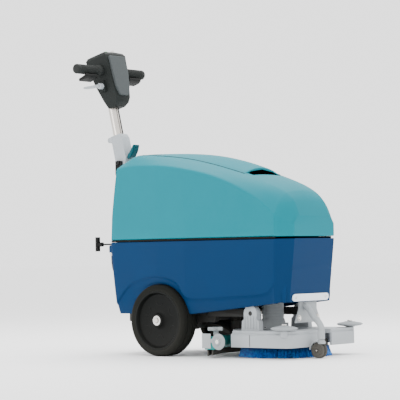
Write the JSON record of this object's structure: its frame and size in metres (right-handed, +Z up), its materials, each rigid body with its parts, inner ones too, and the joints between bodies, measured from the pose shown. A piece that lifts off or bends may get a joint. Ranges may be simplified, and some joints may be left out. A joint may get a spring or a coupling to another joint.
{
  "type": "walk-behind floor scrubber-dryer",
  "caption": "Walk-behind floor scrubber-dryer with stacked tanks, lifting brush deck, curved squeegee, large rear wheels, front caster and tilting handle.",
  "frame": {"origin": "bottom centre of the whole machine, on the floor", "axes": "+X forward, from the handle to the caster; +Y to the left; +Z up"},
  "size_m": [1.103, 0.522, 1.1293],
  "materials": {
    "teal": "satin teal moulding",
    "blue": "satin blue moulding",
    "cast_grey": "grey painted casting",
    "deck_grey": "light grey painted casting",
    "roller_grey": "grey moulding",
    "white": "white moulding",
    "black": "black moulding",
    "rubber": "black rubber",
    "tyre": "grey black rubber",
    "rim": "black moulding",
    "frame": "black powder coat",
    "steel": "polished",
    "charcoal": "fine grained charcoal",
    "panel_grey": "mid grey",
    "brush": "blue nylon tufts",
    "dark_teal": "dark teal moulding",
    "aqua": "aqua moulding",
    "battery": "dark case",
    "green": "green push button"
  },
  "bodies": {
    "chassis": {"lower_tank": "blue", "battery_right": "battery", "battery_left": "battery", "suction_motor": "black", "front_strip": "white", "frame_rail_right": "frame", "frame_rail_left": "frame", "wheel_bolt_right": "steel", "wheel_bolt_left": "steel", "rear_axle": "steel", "handle_post": "frame", "caster_bracket": "cast_grey", "suction_hose": "rubber", "drain_hose": "rubber"},
    "wheel_right": {"tyre_right": "tyre", "rim_right": "rim"},
    "wheel_left": {"tyre_left": "tyre", "rim_left": "rim"},
    "caster": {"caster_fork": "cast_grey", "caster_axle": "steel"},
    "caster_wheels": {"caster_wheel_right": "rubber", "caster_wheel_left": "rubber"},
    "yoke": {"lift_arm_right": "frame", "lift_arm_left": "frame", "lift_crossbar": "steel"},
    "deck": {"brush_deck": "deck_grey", "gear_motor": "cast_grey", "bumper_pin_right": "steel", "bumper_pin_left": "steel"},
    "bumper_right": {"bumper_roller_right": "roller_grey"},
    "bumper_left": {"bumper_roller_left": "roller_grey"},
    "brush": {"brush_block": "black", "brush_bristles": "brush"},
    "squeegee": {"squeegee_body": "aqua", "squeegee_blade_rear": "rubber", "squeegee_blade_front": "rubber", "squeegee_carrier": "black", "squeegee_bracket_right": "cast_grey", "squeegee_bracket_left": "cast_grey"},
    "roller_right": {"side_roller_right": "roller_grey"},
    "roller_left": {"side_roller_left": "roller_grey"},
    "knob_right": {"star_knob_right": "roller_grey"},
    "knob_left": {"star_knob_left": "roller_grey"},
    "handle": {"handle_bracket": "cast_grey", "handle_tube": "steel", "control_rod": "black", "head_shell": "charcoal", "control_panel": "panel_grey", "grip_right": "charcoal", "grip_left": "charcoal"},
    "trigger_right": {"trigger_right": "black"},
    "trigger_left": {"trigger_left": "black"},
    "squeegee_lever": {"squeegee_lever": "roller_grey"},
    "lock_lever": {"lock_lever": "dark_teal"},
    "key_switch": {"key_switch": "steel"},
    "start_button": {"start_button": "green"},
    "pull_knob": {"pull_knob": "black"},
    "recovery_tank": {"upper_tank": "teal", "tank_seal": "rubber"},
    "lid": {"lid": "teal"}
  },
  "joints": [
    {"name": "wheel_right_spin", "type": "hinge", "parent": "chassis", "child": "wheel_right", "pos_m": [-0.07133, -0.184, 0.125], "axis": [0, 1, 0], "continuous": true},
    {"name": "wheel_left_spin", "type": "hinge", "parent": "chassis", "child": "wheel_left", "pos_m": [-0.07133, 0.184, 0.125], "axis": [0, 1, 0], "continuous": true},
    {"name": "caster_swivel", "type": "hinge", "parent": "chassis", "child": "caster", "pos_m": [0.53067, -0.073, 0.063], "axis": [0, 0, 1], "continuous": true},
    {"name": "caster_roll", "type": "hinge", "parent": "caster", "child": "caster_wheels", "pos_m": [0.52167, -0.073, 0.026], "axis": [0, 1, 0], "continuous": true},
    {"name": "deck_lift", "type": "hinge", "parent": "chassis", "child": "yoke", "pos_m": [0.09867, 0, 0.15], "axis": [0, -1, 0], "range_deg": [0, 3.5]},
    {"name": "deck_tilt", "type": "hinge", "parent": "yoke", "child": "deck", "pos_m": [0.29067, 0, 0.15], "axis": [0, -1, 0], "range_deg": [-1.5, 1.5]},
    {"name": "brush_spin", "type": "hinge", "parent": "deck", "child": "brush", "pos_m": [0.32267, 0, 0.047], "axis": [0, 0, 1], "continuous": true},
    {"name": "bumper_right_spin", "type": "hinge", "parent": "deck", "child": "bumper_right", "pos_m": [0.46367, -0.188, 0.103], "axis": [0, 0, 1], "continuous": true},
    {"name": "bumper_left_spin", "type": "hinge", "parent": "deck", "child": "bumper_left", "pos_m": [0.46367, 0.188, 0.103], "axis": [0, 0, 1], "continuous": true},
    {"name": "squeegee_lift", "type": "hinge", "parent": "chassis", "child": "squeegee", "pos_m": [-0.00133, 0, 0.105], "axis": [0, -1, 0], "range_deg": [-2, 8], "deforming": ["suction_hose"]},
    {"name": "side_roller_right_spin", "type": "hinge", "parent": "squeegee", "child": "roller_right", "pos_m": [0.23367, -0.253, 0.058], "axis": [0, 1, 0], "continuous": true},
    {"name": "side_roller_left_spin", "type": "hinge", "parent": "squeegee", "child": "roller_left", "pos_m": [0.23367, 0.253, 0.058], "axis": [0, 1, 0], "continuous": true},
    {"name": "star_knob_right_turn", "type": "hinge", "parent": "squeegee", "child": "knob_right", "pos_m": [0.16867, -0.186, 0.098], "axis": [0, 0, 1], "continuous": true},
    {"name": "star_knob_left_turn", "type": "hinge", "parent": "squeegee", "child": "knob_left", "pos_m": [0.16867, 0.186, 0.098], "axis": [0, 0, 1], "continuous": true},
    {"name": "handle_tilt", "type": "hinge", "parent": "chassis", "child": "handle", "pos_m": [-0.41833, 0, 0.7], "axis": [0, -1, 0], "range_deg": [-25, 15]},
    {"name": "trigger_right_press", "type": "hinge", "parent": "handle", "child": "trigger_right", "pos_m": [-0.45944, -0.12, 1.02418], "axis": [0, 1, 0], "range_deg": [0, 8], "stiffness_Nm_per_rad": 0.5, "springref_deg": -11.46},
    {"name": "trigger_left_press", "type": "hinge", "parent": "handle", "child": "trigger_left", "pos_m": [-0.45944, 0.12, 1.02418], "axis": [0, 1, 0], "range_deg": [0, 8], "stiffness_Nm_per_rad": 0.5, "springref_deg": -11.46},
    {"name": "squeegee_lever_turn", "type": "hinge", "parent": "handle", "child": "squeegee_lever", "pos_m": [-0.47138, -0.062, 0.98748], "axis": [0, -1, 0], "range_deg": [-10, 40]},
    {"name": "lock_lever_turn", "type": "hinge", "parent": "handle", "child": "lock_lever", "pos_m": [-0.38362, 0, 0.71841], "axis": [0, 1, 0], "range_deg": [0, 25]},
    {"name": "pull_knob_slide", "type": "slide", "parent": "chassis", "child": "pull_knob", "axis": [-1, 0, 0], "range_m": [0, 0.03]},
    {"name": "tank_lift", "type": "slide", "parent": "chassis", "child": "recovery_tank", "axis": [0, 0, 1], "range_m": [0, 0.3]},
    {"name": "lid_hinge", "type": "hinge", "parent": "recovery_tank", "child": "lid", "pos_m": [-0.20033, 0, 0.722], "axis": [0, -1, 0], "range_deg": [0, 70]},
    {"name": "key_turn", "type": "hinge", "parent": "handle", "child": "key_switch", "pos_m": [-0.48457, 0.02, 1.11381], "axis": [-0.2284, 0, 0.9736], "range_deg": [0, 90]},
    {"name": "start_button_press", "type": "slide", "parent": "handle", "child": "start_button", "axis": [0.2284, 0, -0.9736], "range_m": [0, 0.003], "stiffness_N_per_m": 300, "springref_m": -0.002}
  ],
  "couplings": [
    {"joint": "squeegee_lever_turn", "follows": "squeegee_lift", "ratio": 5}
  ]
}
